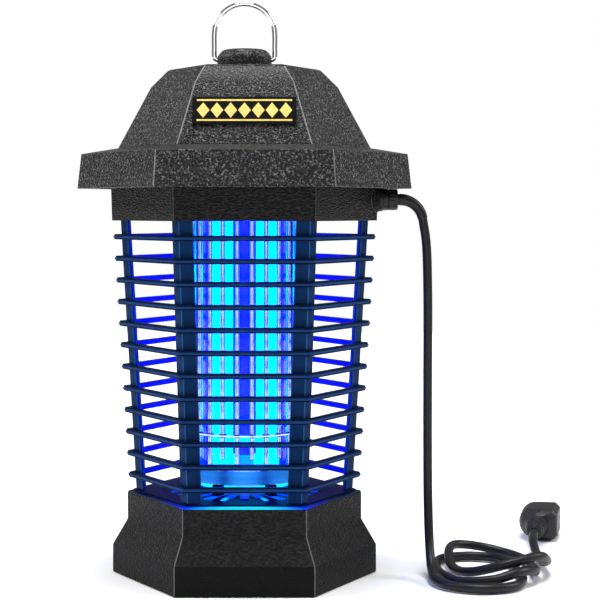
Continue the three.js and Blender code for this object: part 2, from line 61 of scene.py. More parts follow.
FLAT = math.cos(math.pi / SIDES)     # a hexagon's flat distance over its corner radius
EASED_TURN = math.radians(24)        # edges that turn by more than this are eased
FOOT_BAND = 16.7                     # top of the foot's lower band
GLAND_Z = 223.5                      # height of the gland's axis
FILL_STRENGTH = 0.25                 # of the white surroundings, as light on the model


# ---- Camera: a long lens at the height of the grid's top, tipped down a little and shifted ----
CAMERA = {"place": (0, -1.015, 0.2173), "down": 0.61, "lens": 101.5, "sensor": 36, "shift": (0.0925, -0.12)}


def make_camera():
    data = bpy.data.cameras.new("camera")
    data.lens = CAMERA["lens"]
    data.sensor_width = CAMERA["sensor"]
    data.shift_x, data.shift_y = CAMERA["shift"]
    data.clip_start = 0.01
    camera = bpy.data.objects.new("camera", data)
    camera.location = CAMERA["place"]
    camera.rotation_euler = (math.radians(90 - CAMERA["down"]), 0, 0)
    bpy.context.scene.collection.objects.link(camera)
    bpy.context.scene.camera = camera


# ---- Mesh helpers: shapes are (points, faces), in millimetres ----
def combined(*shapes):
    points, faces = [], []
    for more_points, more_faces in shapes:
        start = len(points)
        points += more_points
        faces += [tuple(i + start for i in face) for face in more_faces]
    return points, faces


def moved(shape, matrix):
    points, faces = shape
    return [tuple(matrix @ Vector(p)) for p in points], faces


def shifted(shape, x=0.0, y=0.0, z=0.0):
    return moved(shape, Matrix.Translation((x, y, z)))


def around(count, shape, phase=0.0):
    """Copies of a shape, evenly round Z. The phase is in steps."""
    turns = [(i + phase) * 2 * math.pi / count for i in range(count)]
    return combined(*(moved(shape, Matrix.Rotation(turn, 4, "Z")) for turn in turns))


def rectangle(low_x, high_x, low_y, high_y):
    return [(low_x, low_y), (high_x, low_y), (high_x, high_y), (low_x, high_y)]


def on_circle(x, z, radius, degrees):
    angle = math.radians(degrees)
    return x + radius * math.cos(angle), z + radius * math.sin(angle)


def rounded(outline, radius, steps=3, closed=False):
    """The outline with its corners rounded. A third number in a point is that corner's own radius."""
    count = len(outline)
    result = []
    for i, point in enumerate(outline):
        here = Vector(point[:2])
        if not closed and i in (0, count - 1):
            result.append(tuple(here))
            continue
        before = Vector(outline[i - 1][:2]) - here
        after = Vector(outline[(i + 1) % count][:2]) - here
        wanted = point[2] if len(point) > 2 else radius
        turn = math.pi - before.angle(after)
        reach = wanted * math.tan(turn / 2)
        reach = min(reach, 0.48 * before.length, 0.48 * after.length)
        if reach < 1e-4:
            result.append(tuple(here))
            continue
        start, end = here + before.normalized() * reach, here + after.normalized() * reach
        for step in range(steps + 1):
            t = step / steps
            spot = start * (1 - t) ** 2 + here * 2 * t * (1 - t) + end * t ** 2
            result.append(tuple(spot))
    return result


def lathe(profile, segments=64):
    """Revolves (radius, z) points about Z. One that starts off the axis is closed on itself."""
    closed = profile[0][0] > 0
    points, rows = [], []
    for radius, z in profile:
        if radius <= 0:
            rows.append([len(points)] * segments)
            points.append((0.0, 0.0, z))
            continue
        rows.append(list(range(len(points), len(points) + segments)))
        for i in range(segments):
            angle = i * 2 * math.pi / segments
            points.append((radius * math.cos(angle), radius * math.sin(angle), z))
    if closed:
        rows.append(rows[0])
    faces = []
    for low, high in zip(rows, rows[1:]):
        for i in range(segments):
            j = (i + 1) % segments
            corners = dict.fromkeys((low[i], low[j], high[j], high[i]))
            if len(corners) > 2:
                faces.append(tuple(corners))
    return points, faces


def band(inner, outer, bottom, top, ease, steps=3, segments=96):
    """A ring of rectangular section with eased edges."""
    return lathe(rounded(rectangle(inner, outer, bottom, top), ease, steps, True), segments)


def along_x(shape):
    """Turns a shape made along Z so that it runs along +X."""
    return moved(shape, Matrix.Rotation(math.pi / 2, 4, "Y"))


def tube_along(path, radii, sides=16):
    """A round, capped tube along 3-D points. The radii are one number or one per point."""
    path = [Vector(p) for p in path]
    if not hasattr(radii, "__len__"):
        radii = [radii] * len(path)
    points, faces = [], []
    across = None
    for i, here in enumerate(path):
        ahead = path[min(i + 1, len(path) - 1)] - path[max(i - 1, 0)]
        ahead.normalize()
        if across is None:
            across = ahead.orthogonal()
        across = (across - ahead * across.dot(ahead)).normalized()
        side = ahead.cross(across)
        for k in range(sides):
            angle = k * 2 * math.pi / sides
            points.append(tuple(here + (across * math.cos(angle) + side * math.sin(angle)) * radii[i]))
    for i in range(len(path) - 1):
        for k in range(sides):
            j = (k + 1) % sides
            faces.append((i * sides + k, i * sides + j, (i + 1) * sides + j, (i + 1) * sides + k))
    faces.append(tuple(reversed(range(sides))))
    faces.append(tuple(range((len(path) - 1) * sides, len(path) * sides)))
    return points, faces


def prism(outline, bottom, top):
    """An outline of (x, y) points between two heights."""
    count = len(outline)
    points = [(x, y, bottom) for x, y in outline] + [(x, y, top) for x, y in outline]
    faces = [(i, (i + 1) % count, count + (i + 1) % count, count + i) for i in range(count)]
    faces.append(tuple(reversed(range(count))))
    faces.append(tuple(range(count, 2 * count)))
    return points, faces


def catmull_rom(knots, per_span=24):
    """A centripetal curve through the knots, the same as the frame's."""
    knots = [Vector(k) for k in knots]
    result = []
    for i in range(len(knots) - 1):
        p1, p2 = knots[i], knots[i + 1]
        p0 = knots[i - 1] if i else p1 * 2 - p2
        p3 = knots[i + 2] if i + 2 < len(knots) else p2 * 2 - p1
        d0, d1, d2 = (math.sqrt((b - a).length) for a, b in ((p0, p1), (p1, p2), (p2, p3)))
        t1 = ((p1 - p0) / d0 - (p2 - p0) / (d0 + d1) + (p2 - p1) / d1) * d1
        t2 = ((p2 - p1) / d1 - (p3 - p1) / (d1 + d2) + (p3 - p2) / d2) * d1
        c2 = (p2 - p1) * 3 - t1 * 2 - t2
        c3 = (p1 - p2) * 2 + t1 + t2
        for k in range(per_span):
            t = k / per_span
            result.append(p1 + t1 * t + c2 * t ** 2 + c3 * t ** 3)
    result.append(knots[-1])
    return result


def evenly(points, step):
    """The same line with points a fixed distance apart, and its length."""
    lengths = [0.0]
    for a, b in zip(points, points[1:]):
        lengths.append(lengths[-1] + (b - a).length)
    total = lengths[-1]
    count = round(total / step)
    result, i = [], 0
    for k in range(count + 1):
        want = total * k / count
        while i < len(points) - 2 and lengths[i + 1] < want:
            i += 1
        share = (want - lengths[i]) / (lengths[i + 1] - lengths[i])
        result.append(points[i].lerp(points[i + 1], share))
    return result, total


# ---- From shapes to pieces of the model ----
def shade(obj, sharp=40):
    """Smooth shading that stays flat on the large faces and sharp at real edges."""
    obj.data.shade_smooth()
    obj.data.set_sharp_from_angle(angle=math.radians(sharp))
    weighted = obj.modifiers.new("weighted", "WEIGHTED_NORMAL")
    weighted.keep_sharp = True
    apply_modifiers(obj)


def apply_modifiers(obj):
    bpy.context.view_layer.update()
    graph = bpy.context.evaluated_depsgraph_get()
    old = obj.data
    obj.data = bpy.data.meshes.new_from_object(obj.evaluated_get(graph))
    obj.modifiers.clear()
    bpy.data.meshes.remove(old)


def link(name, mesh, looks):
    obj = bpy.data.objects.new(name, mesh)
    bpy.context.scene.collection.objects.link(obj)
    for look in looks:
        mesh.materials.append(look)
    return obj


def stands_for(obj, body, nodes):
    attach(obj, body)
    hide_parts(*nodes)
    return obj


def mesh_of(name, shape, scale=MM):
    points, faces = shape
    mesh = bpy.data.meshes.new(name)
    mesh.from_pydata([tuple(c * scale for c in p) for p in points], [], faces)
    bm = bmesh.new()
    bm.from_mesh(mesh)
    bmesh.ops.recalc_face_normals(bm, faces=bm.faces)
    bm.to_mesh(mesh)
    bm.free()
    return mesh


def build(name, shape, look, body, nodes=(), sharp=40):
    """One piece from a shape, with one look or a list of them."""
    obj = link(name, mesh_of(name, shape), look if isinstance(look, list) else [look])
    shade(obj, sharp)
    return stands_for(obj, body, nodes)


def edges_to_ease(bm, test):
    """Sharp edges between faces that aren't eased yet, whose middle in millimetres passes the test."""
    edges = []
    for edge in bm.edges:
        middle = (edge.verts[0].co + edge.verts[1].co) / 2 / MM
        untouched = all(face.material_index == 0 for face in edge.link_faces)
        if edge.calc_face_angle(0) > EASED_TURN and untouched and test(middle):
            edges.append(edge)
    return edges


def eased(name, node, looks, width, body="lantern", segments=2, special=()):
    """A frame piece with eased edges. All but level edges take the second look, a lighter colour painted on
    as a highlight line.

    Each special is (test of an edge's middle in millimetres, width, segments), for edges that are eased by
    another width. They come first.
    """
    bm = bmesh.new()
    bm.from_mesh(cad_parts[node].data)
    bmesh.ops.remove_doubles(bm, verts=bm.verts, dist=2e-6)
    bmesh.ops.dissolve_limit(bm, angle_limit=math.radians(1), verts=bm.verts, edges=bm.edges)
    for face in bm.faces:
        face.material_index = 0
    for test, own_width, own_segments in [*special, (lambda middle: True, width, segments)]:
        edges = edges_to_ease(bm, test)
        if edges:
            bmesh.ops.bevel(bm, geom=edges, offset=own_width * MM, segments=own_segments, profile=0.5,
                            affect="EDGES", clamp_overlap=True, material=1)
    # level edges lose the painted highlight line and keep the first look
    for face in bm.faces:
        longest = max(face.edges, key=lambda edge: edge.calc_length())
        run = longest.verts[1].co - longest.verts[0].co
        if face.material_index and abs(run.z) < LEVEL * run.length:
            face.material_index = 0
    mesh = bpy.data.meshes.new(name)
    bm.to_mesh(mesh)
    bm.free()
    obj = link(name, mesh, looks)
    shade(obj)
    return stands_for(obj, body, [node])


# ---- Materials ----
def grey(value):
    return value, value, value


class Look:
    """A material with one Principled shader, and short ways to add patterns to it."""

    def __init__(self, name, colour, roughness, metallic=0.0, **sockets):
        self.material = bpy.data.materials.new(name)
        self.material.use_nodes = True
        self.tree = self.material.node_tree
        self.shader = self.tree.nodes["Principled BSDF"]
        self.set("Base Color", (*colour, 1.0))
        self.set("Roughness", roughness)
        self.set("Metallic", metallic)
        for socket, value in sockets.items():
            self.set(socket.replace("_", " "), value)
        self.place = self.node("ShaderNodeTexCoord").outputs["Object"]

    def set(self, socket, value):
        self.shader.inputs[socket].default_value = value

    def node(self, kind, **settings):
        made = self.tree.nodes.new(kind)
        for key, value in settings.items():
            setattr(made, key, value)
        return made

    def wire(self, source, target):
        self.tree.links.new(source, target)

    def stretched(self, scale):
        mapping = self.node("ShaderNodeMapping")
        mapping.inputs["Scale"].default_value = scale
        self.wire(self.place, mapping.inputs["Vector"])
        return mapping.outputs["Vector"]

    def noise(self, scale, detail=2.0, stretch=None):
        made = self.node("ShaderNodeTexNoise")
        made.inputs["Scale"].default_value = scale
        made.inputs["Detail"].default_value = detail
        self.wire(self.stretched(stretch) if stretch else self.place, made.inputs["Vector"])
        return made.outputs["Fac"]

    def cells(self, scale, stretch, smooth):
        made = self.node("ShaderNodeTexVoronoi", feature="SMOOTH_F1")
        made.inputs["Scale"].default_value = scale
        made.inputs["Smoothness"].default_value = smooth
        self.wire(self.stretched(stretch), made.inputs["Vector"])
        return made.outputs["Distance"]

    def axes(self):
        """The piece's own X, Y and Z."""
        apart = self.node("ShaderNodeSeparateXYZ")
        self.wire(self.place, apart.inputs["Vector"])
        return apart.outputs

    def remap(self, value, from_low, from_high, to_low=0.0, to_high=1.0):
        made = self.node("ShaderNodeMapRange")
        made.inputs["From Min"].default_value = from_low
        made.inputs["From Max"].default_value = from_high
        made.inputs["To Min"].default_value = to_low
        made.inputs["To Max"].default_value = to_high
        self.wire(value, made.inputs["Value"])
        return made.outputs["Result"]

    def calculate(self, operation, a, b):
        made = self.node("ShaderNodeMath", operation=operation)
        for value, socket in ((a, made.inputs[0]), (b, made.inputs[1])):
            if isinstance(value, (int, float)):
                socket.default_value = value
            else:
                self.wire(value, socket)
        return made.outputs[0]

    def weighed(self, a, share_a, b, share_b):
        """The sum of two values, each times its share."""
        part_a = self.calculate("MULTIPLY", a, share_a)
        part_b = self.calculate("MULTIPLY", b, share_b)
        return self.calculate("ADD", part_a, part_b)

    def colour(self, value, stops, socket="Base Color"):
        """Colours a socket by a value, through (position, colour) stops."""
        ramp = self.node("ShaderNodeValToRGB")
        elements = ramp.color_ramp.elements
        while len(elements) < len(stops):
            elements.new(0.5)
        for element, (position, shade_colour) in zip(elements, stops):
            element.position = position
            element.color = (*shade_colour, 1.0)
        self.wire(value, ramp.inputs["Fac"])
        self.wire(ramp.outputs["Color"], self.shader.inputs[socket])

    def rough(self, value, low, high):
        self.wire(self.remap(value, 0.3, 0.7, low, high), self.shader.inputs["Roughness"])

    def bump(self, height, depth, strength=1.0):
        made = self.node("ShaderNodeBump")
        made.inputs["Strength"].default_value = strength
        made.inputs["Distance"].default_value = depth * MM
        self.wire(height, made.inputs["Height"])
        self.wire(made.outputs["Normal"], self.shader.inputs["Normal"])


def pebbled():
    """Roof: coarse pebble grain, its tops painted bright as glints and its hollows painted dark as shade."""
    look = Look("pebbled_black", grey(0.03), 0.5, Specular_IOR_Level=0.2)
    pebbles = look.noise(760, 1.0)
    grit = look.noise(1350, 1.0)
    height = look.weighed(pebbles, 0.5, grit, 0.5)
    # colour by grain height: painted shade in the hollows, painted glints on the tops
    tones = [(0.0, grey(0.002)), (0.45, grey(0.01)), (0.7, grey(0.035)), (1.0, grey(0.18))]
    look.colour(look.remap(height, 0.35, 0.65), tones)
    look.rough(grit, 0.26, 0.4)
    look.bump(height, 0.55)
    return look.material


def leather():
    """Collar and foot: leather grain drawn out sideways, its creases painted dark as shade; on the foot's
    lower band the grain is fainter and the colour painted darker as shade.
    """
    look = Look("leather_black", grey(0.02), 0.55, Specular_IOR_Level=0.09)
    stretch = (1.0, 1.0, 2.6)
    creases = look.cells(480, stretch, 0.5)
    pores = look.noise(700, 2.0, stretch)
    height = look.weighed(creases, 0.9, pores, 0.5)
    # below FOOT_BAND the grain is fainter and the colour darker: painted shade on the lower band
    fainter_grain_and_painted_shade = look.remap(look.axes()["Z"], FOOT_BAND * MM, (FOOT_BAND + 0.4) * MM, 0.3, 1.0)
    height = look.calculate("MULTIPLY", height, fainter_grain_and_painted_shade)
    # colour by grain height: painted shade in the creases
    tones = [(0.0, grey(0.0035)), (0.3, grey(0.008)), (0.6, grey(0.0125)), (1.0, grey(0.022))]
    look.colour(look.remap(height, 0.25, 0.95), tones)
    look.rough(pores, 0.4, 0.6)
    look.bump(height, 1.3)
    return look.material


def highlit_edge(name, colour, roughness):
    """An edge painted lighter as a highlight line, broken up by noise."""
    look = Look(name, colour, roughness, Specular_IOR_Level=0.5)
    highlight_breakup = look.noise(260, 3.0)
    dark = tuple(c * 0.45 for c in colour)
    look.colour(look.remap(highlight_breakup, 0.3, 0.7), [(0.0, dark), (1.0, colour)])
    return look.material


def guard_plastic(name, colour, light):
    """The guard: glossy moulded plastic with a slight waviness."""
    look = Look(name, colour, 0.35, Specular_IOR_Level=0.015)
    flow = look.noise(60, 3.0, (1.0, 1.0, 0.25))
    look.colour(look.remap(flow, 0.3, 0.7), [(0.0, colour), (1.0, light)])
    look.rough(look.noise(900, 2.0), 0.3, 0.42)
    look.bump(flow, 0.25, 0.3)
    return look.material


def wire_steel():
    """The grid's rods: drawn steel, with the lamp's blue painted into its colour and edge tint as a
    reflection.
    """
    # blue base colour and edge tint: painted reflection of the lamp's blue light
    look = Look("drawn_wire", (0.4, 0.6, 1.0), 0.2, 1.0, Specular_Tint=(0.0, 0.1, 0.7, 1.0))
    drawn = look.noise(300, 2.0, (1.0, 1.0, 0.01))
    look.rough(drawn, 0.2, 0.3)
    look.colour(look.remap(drawn, 0.3, 0.7), [(0.0, (0.4, 0.62, 1.0)), (1.0, (0.55, 0.75, 1.0))])
    return look.material


def drum_steel():
    """The drum: polished steel, painted blue for the lamp's light that it reflects."""
    look = Look("lamp_blue_reflection_steel", (0.03, 0.34, 1.0), 0.2, 1.0)
    turning = look.noise(500, 3.0, (0.05, 0.05, 1.0))
    look.rough(turning, 0.38, 0.46)
    look.colour(look.remap(turning, 0.3, 0.7), [(0.0, (0.02, 0.28, 0.9)), (1.0, (0.04, 0.38, 1.0))])
    return look.material


def plated(name, low, high, roughness, grain=0.02):
    """Bare or plated metal, faintly brushed."""
    look = Look(name, high, roughness, 1.0)
    brushed = look.noise(600, 4.0, (1.0, 1.0, 0.15))
    look.colour(look.remap(brushed, 0.3, 0.7), [(0.0, low), (1.0, high)])
    look.rough(brushed, roughness * 0.7, roughness * 1.3)
    look.bump(brushed, grain, 0.4)
    return look.material


def glowing(name, colour, strength, base=(0.02, 0.4, 0.5)):
    """Glass or plastic that glows. Only the lamp's glass is a lamp; on the other parts the glow is the lamp's
    light, painted on.
    """
    look = Look(name, base, 0.3)
    look.set("Emission Color", (*colour, 1.0))
    look.set("Emission Strength", strength)
    haze = look.noise(90, 2.0, (1.0, 1.0, 0.2))
    look.rough(haze, 0.25, 0.4)
    return look.material


def lit_lip():
    """The rim that the lamp's light leaks over: cyan in front and behind, then blue, then dark."""
    look = Look("lit_lip", (0.0, 0.002, 0.01), 0.35, Specular_IOR_Level=0.05)
    axes = look.axes()
    across = look.calculate("ABSOLUTE", axes["X"], 0.0)
    along = look.calculate("ABSOLUTE", axes["Y"], 0.0)
    reach = look.calculate("SUBTRACT", along, look.calculate("MULTIPLY", across, 0.25))
    tones = [(0.0, (0.0, 0.004, 0.03)), (0.6, (0.0, 0.01, 0.35)), (0.8, (0.0, 0.03, 0.9)),
             (0.93, (0.01, 0.75, 1.0))]
    look.colour(look.remap(reach, 0.02, 0.06), tones, "Emission Color")
    look.set("Emission Strength", 1.0)
    return look.material


def tinted_sleeve():
    """The blue sleeve round the lamp, seen through, with the lamp's light painted on it as a blue glow."""
    look = Look("tinted_sleeve", (0.0, 0.01, 0.4), 0.15, Alpha=0.68, Specular_IOR_Level=0.08)
    # blue glow: the lamp's light painted on the sleeve
    look.set("Emission Color", (0.0, 0.0012, 1.0, 1.0))
    look.set("Emission Strength", 8.0)
    look.rough(look.noise(120, 2.0, (1.0, 1.0, 0.1)), 0.1, 0.2)
    return look.material


def moulded(name, colour, roughness, depth=0.05, scale=700, **sockets):
    """Plain moulded plastic or rubber with a fine texture."""
    look = Look(name, colour, roughness, **sockets)
    texture = look.noise(scale, 3.0)
    lighter = tuple(min(1.0, c * 1.35 + 0.002) for c in colour)
    look.colour(look.remap(texture, 0.3, 0.7), [(0.0, colour), (1.0, lighter)])
    look.rough(texture, roughness * 0.85, min(1.0, roughness * 1.15))
    look.bump(texture, depth, 0.6)
    return look.material


def floor_material():
    look = Look("pale_floor", grey(0.93), 0.7, Specular_IOR_Level=0.2)
    mottle = look.noise(6, 2.0)
    look.colour(look.remap(mottle, 0.3, 0.7), [(0.0, grey(0.92)), (1.0, grey(0.95))])
    return look.material


PEBBLED = pebbled()
LEATHER = leather()
# lighter edge colours, painted on the eased edges as highlight lines
ROOF_EDGE = highlit_edge("highlit_roof_edge", grey(0.24), 0.35)
FOOT_EDGE = highlit_edge("highlit_foot_edge", (0.085, 0.082, 0.08), 0.4)
GUARD = guard_plastic("guard_navy", (0.0035, 0.02, 0.075), (0.005, 0.029, 0.105))
# a lighter navy, painted on the guard's eased edges as a highlight line
GUARD_HIGHLIGHT = guard_plastic("guard_navy_highlight", (0.012, 0.07, 0.2), (0.02, 0.1, 0.28))
# lit and shaded copies of the guard's navy: painted shade on the ring, painted lamp light on its inner faces,
# a painted lighter rib
RING_SHADED = guard_plastic("ring_navy_shaded", (0.0012, 0.006, 0.022), (0.002, 0.01, 0.035))
RING_LAMP_LIT = guard_plastic("ring_inner_lamp_lit", (0.001, 0.008, 0.15), (0.0015, 0.012, 0.21))
RING_RIB_LIT = guard_plastic("ring_rib_lit", (0.008, 0.035, 0.13), (0.011, 0.05, 0.17))
DECK = guard_plastic("deck_navy", (0.001, 0.004, 0.02), (0.0015, 0.006, 0.03))
# glow on the grille's slot walls: the lamp's light painted on
LIT_SLOT = glowing("lit_slot_wall", (0.0, 0.06, 1.0), 0.9, (0.0, 0.01, 0.05))
WIRE = wire_steel()
DRUM = drum_steel()
CHROME = plated("chrome_wire", (0.62, 0.63, 0.65), (0.8, 0.8, 0.82), 0.08, 0.0004)
NICKEL = plated("nickel", (0.55, 0.54, 0.51), (0.8, 0.79, 0.76), 0.22)
LAMP_GLASS = glowing("lit_lamp_glass", (0.0, 1.0, 1.0), 13.0)
# the LIT_ looks below are no lamps: their glow is the lamp's light painted on
LIT_CUP = glowing("lit_cup", (0.0, 0.95, 1.0), 12.0)
LIT_WEB = glowing("lit_web", (0.0, 0.28, 0.9), 9.0)
LIT_HUB = glowing("lit_hub", (0.0, 0.8, 1.0), 1.3)
EYELET = moulded("eyelet_plastic", (0.004, 0.005, 0.03), 0.3, 0.01)
LIT_HOOP = glowing("lit_spacer_nylon", (0.6, 0.75, 1.0), 0.8, (0.8, 0.82, 0.85))
LIT_DEEP = glowing("lit_hub_wall", (0.0, 0.03, 0.6), 0.5)
LIT_LIP = lit_lip()
SLEEVE = tinted_sleeve()
WHITE = moulded("white_plastic", (0.72, 0.74, 0.76), 0.4, 0.03)
RUBBER = moulded("cord_rubber", (0.006, 0.006, 0.0065), 0.4, 0.04, 900, Specular_IOR_Level=0.25)
PLUG_RUBBER = moulded("plug_rubber", (0.008, 0.008, 0.0085), 0.45, 0.08, 1300, Specular_IOR_Level=0.3)


def white_surroundings():
    """White to look at, and a dimmer light on the model, so that the lights shape it."""
    world = bpy.data.worlds.new("surroundings")
    world.use_nodes = True
    tree = world.node_tree
    seen = tree.nodes["Background"]
    seen.inputs["Color"].default_value = (1, 1, 1, 1)
    fill = tree.nodes.new("ShaderNodeBackground")
    fill.inputs["Color"].default_value = (1, 1, 1, 1)
    fill.inputs["Strength"].default_value = FILL_STRENGTH
    path = tree.nodes.new("ShaderNodeLightPath")
    mix = tree.nodes.new("ShaderNodeMixShader")
    tree.links.new(path.outputs["Is Camera Ray"], mix.inputs["Fac"])
    tree.links.new(fill.outputs["Background"], mix.inputs[1])
    tree.links.new(seen.outputs["Background"], mix.inputs[2])
    tree.links.new(mix.outputs["Shader"], tree.nodes["World Output"].inputs["Surface"])
    return world


# ---- Stage: a pale floor, white surroundings and soft lights ----
FLOOR_HALF = 2                       # in metres
FLOOR_GAP = 0.0003                   # below the model, in metres


def make_stage():
    corners = [(x, y, 0) for x, y in rectangle(-FLOOR_HALF, FLOOR_HALF, -FLOOR_HALF, FLOOR_HALF)]
    floor = link("floor", mesh_of("floor", (corners, [(0, 1, 2, 3)]), 1.0), [floor_material()])
    floor.location.z = -FLOOR_GAP
    bpy.context.scene.world = white_surroundings()
    bpy.context.scene.view_settings.view_transform = "Standard"


def softbox(name, place, target, width, power):
    light = bpy.data.lights.new(name, "AREA")
    light.shape = "DISK"
    light.size = width
    light.energy = power
    obj = bpy.data.objects.new(name, light)
    obj.location = place
    aim = Vector(target) - Vector(place)
    obj.rotation_euler = aim.to_track_quat("-Z", "Y").to_euler()
    bpy.context.scene.collection.objects.link(obj)


def lantern_glow(name, place, power):
    """The lamp's blue light, from a point that isn't itself seen."""
    light = bpy.data.lights.new(name, "POINT")
    light.shadow_soft_size = 0.02
    light.energy = power
    light.color = (0.0, 0.05, 1.0)
    obj = bpy.data.objects.new(name, light)
    obj.location = place
    obj.visible_camera = False
    bpy.context.scene.collection.objects.link(obj)


def sunlight(name, azimuth, elevation, strength, softness):
    """Even light from far away. Azimuth 0 comes from behind the camera, and 90 from the right."""
    light = bpy.data.lights.new(name, "SUN")
    light.energy = strength
    light.angle = math.radians(softness)
    obj = bpy.data.objects.new(name, light)
    obj.rotation_euler = (math.radians(90 - elevation), 0, math.radians(azimuth))
    bpy.context.scene.collection.objects.link(obj)


def make_lights():
    sunlight("left", azimuth=-94, elevation=34, strength=1.8, softness=24)
    sunlight("right", azimuth=94, elevation=34, strength=1.5, softness=24)
    sunlight("top", azimuth=0, elevation=86, strength=3.0, softness=30)
    softbox("front", place=(0, -2.2, 0.3), target=(0, 0, 0.17), width=1.3, power=9)
    lantern_glow("grid_glow_low", place=(0, 0, 0.095), power=7)
    lantern_glow("grid_glow_high", place=(0, 0, 0.175), power=7)
    lantern_glow("tray_glow", place=(0, 0, 0.03), power=1.5)


# ---- Power cord: 0.85 m of 5.5 mm lead, from the boot's tip to the plug on the floor ----
CORD_DIAMETER = 0.0055
CORD_STEP = 0.0022
CORD_ROUTE = [
    (0.1069, 0, 0.212),
    (0.109, 0, 0.198),
    (0.11, 0, 0.168),
    (0.11, 0, 0.12),
    (0.11, 0, 0.076),
    (0.11, -0.0025, 0.044),
    (0.11, -0.0105, 0.0195),
    (0.11, -0.023, 0.0068),
    (0.1104, -0.038, 0.0036),
    (0.118, -0.053, 0.003),
    (0.136, -0.0605, 0.003),
    (0.154, -0.053, 0.003),
    (0.1615, -0.035, 0.003),
    (0.162, -0.012, 0.003),
    (0.162, 0.008, 0.003),
    (0.1556, 0.0246, 0.003),
    (0.139, 0.0313, 0.003),
    (0.1226, 0.0244, 0.003),
    (0.116, 0.008, 0.003),
    (0.116, -0.02, 0.003),
    (0.124, -0.0405, 0.003),
    (0.1435, -0.049, 0.0058),
    (0.158, -0.045, 0.0092),
    (0.168, -0.034, 0.008),
    (0.1715, -0.018, 0.004),
    (0.1715, 0.02, 0.003),
    (0.165, 0.0366, 0.0032),
    (0.1485, 0.0436, 0.0062),
    (0.132, 0.037, 0.009),
    (0.1252, 0.02, 0.0084),
    (0.125, -0.005, 0.0034),
    (0.133, -0.029, 0.006),
    (0.1525, -0.0375, 0.0122),
    (0.1715, -0.0295, 0.0152),
    (0.18, -0.0105, 0.0088),
    (0.181, 0.012, 0.0036),
    (0.1808, 0.03, 0.0046),
    (0.1816, 0.048, 0.009),
    (0.1844, 0.062, 0.0106),
    (0.1854, 0.066, 0.0107),
]


def make_cord(with_pieces):
    path, length = evenly(catmull_rom(CORD_ROUTE), CORD_STEP)
    shape = tube_along(path, CORD_DIAMETER / 2, 18)
    cord = link("cord", mesh_of("cord", shape, 1.0), [RUBBER])
    cord.data.shade_smooth()
    cord.data.set_sharp_from_angle(angle=math.radians(50))
    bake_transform(cord)
    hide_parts("power_cord")


# ---- Boot: a taper that turns the cord down out of the gland ----
BOOT = {"start": 91.9, "straight": 1.6, "bend": 13.5, "turn": math.radians(80), "over": 0.7, "root": 3.6,
        "tip": 3.0}


def boot_point(distance):
    """A point of the boot's middle line, which is straight and then bends down."""
    turned = max(0.0, distance - BOOT["straight"]) / BOOT["bend"]
    x = BOOT["start"] + min(distance, BOOT["straight"]) + BOOT["bend"] * math.sin(turned)
    return x, 0.0, GLAND_Z - BOOT["bend"] * (1 - math.cos(turned))


def make_boot():
    length = BOOT["straight"] + BOOT["bend"] * BOOT["turn"] + BOOT["over"]
    steps = 60
    path = [boot_point(length * i / steps) for i in range(steps + 1)]
    radii = []
    for i in range(steps + 1):
        share = i / steps
        taper = BOOT["root"] + (BOOT["tip"] - BOOT["root"]) * share
        end_ease = 0.3 * max(0.0, 1 - share * 14) + 0.25 * max(0.0, (share - 0.95) * 20)
        radii.append(taper - end_ease)
    return build("boot", tube_along(path, radii, 32), RUBBER, "lantern", ["cord_boot"], 50)


# ---- Plug: a three-pin plug lying on its broad side ----
PLUG = {
    "at": (185.4, 66.0), "heading": math.radians(76), "half_width": 13.0, "height": 21.0, "body": 34.0,
    "relief": 24.0, "gap": 0.3, "lift": 0.1, "blade": (17.5, 6.35, 1.5), "blade_apart": 12.7,
    "blade_offset": -4.5, "hole": 1.6, "hole_from_tip": 4.2, "pin_radius": 2.4, "pin_length": 20.5,
    "pin_tip": 2.2, "pin_offset": 7.4,
}
RELIEF = {"ribs": 4, "first": 1.6, "groove": 1.9, "depth": 1.7, "root": 4.3, "growth": 2.6, "flange": 6.9}

# Each station is a share of the body's length, then shares of its blade side, pin side and height there.
PLUG_STATIONS = [
    (0.0, 0.55, 0.5, 0.62), (0.02, 0.62, 0.53, 0.7), (0.1, 0.9, 0.6, 0.84), (0.16, 0.97, 0.68, 0.93),
    (0.2, 0.985, 0.8, 0.955), (0.27, 0.99, 0.89, 0.965), (0.36, 0.99, 0.96, 0.975), (0.46, 0.992, 0.99, 0.98),
    (0.9, 1.0, 1.0, 1.0), (0.965, 1.0, 1.0, 1.0), (0.99, 0.985, 0.985, 0.98), (1.0, 0.95, 0.95, 0.94),
]


def in_plug(shape):
    """From the plug's own frame, +X from the cord to the blades, to where it lies."""
    x, y = PLUG["at"]
    place = Matrix.Translation((x, y, PLUG["height"] / 2 + PLUG["lift"]))
    return moved(shape, place @ Matrix.Rotation(PLUG["heading"], 4, "Z"))


def strain_relief():
    """Four ribs round a taper, with a spine along each side."""
    gap, length, flange = PLUG["gap"], PLUG["relief"], RELIEF["flange"]
    end = gap + length
    profile = [(0.0, gap), (3.6, gap), (4.1, gap + 0.5)]
    pitch = (length - 3.5) / RELIEF["ribs"]
    for i in range(RELIEF["ribs"]):
        start = gap + RELIEF["first"] + i * pitch
        rib = start + RELIEF["groove"]
        radius = RELIEF["root"] + RELIEF["growth"] * (start + pitch / 2 - gap) / length
        floor = radius - RELIEF["depth"]
        profile += [(floor, start + 0.15), (floor, rib - 0.15), (radius, rib)]
        profile.append((radius + 0.12, start + pitch - 0.2))
    profile += [(flange, end - 0.3), (flange, end), (0.0, end)]
    core = along_x(lathe(rounded(profile, 0.35, 3), 48))
    points, faces = prism([(gap + 1.2, -1.3), (end, -1.5), (end, 1.5), (gap + 1.2, 1.3)], -1, 1)
    points = [(x, y, z * (3.9 + 2.5 * (x - gap) / length)) for x, y, z in points]
    return combined(core, (points, faces))


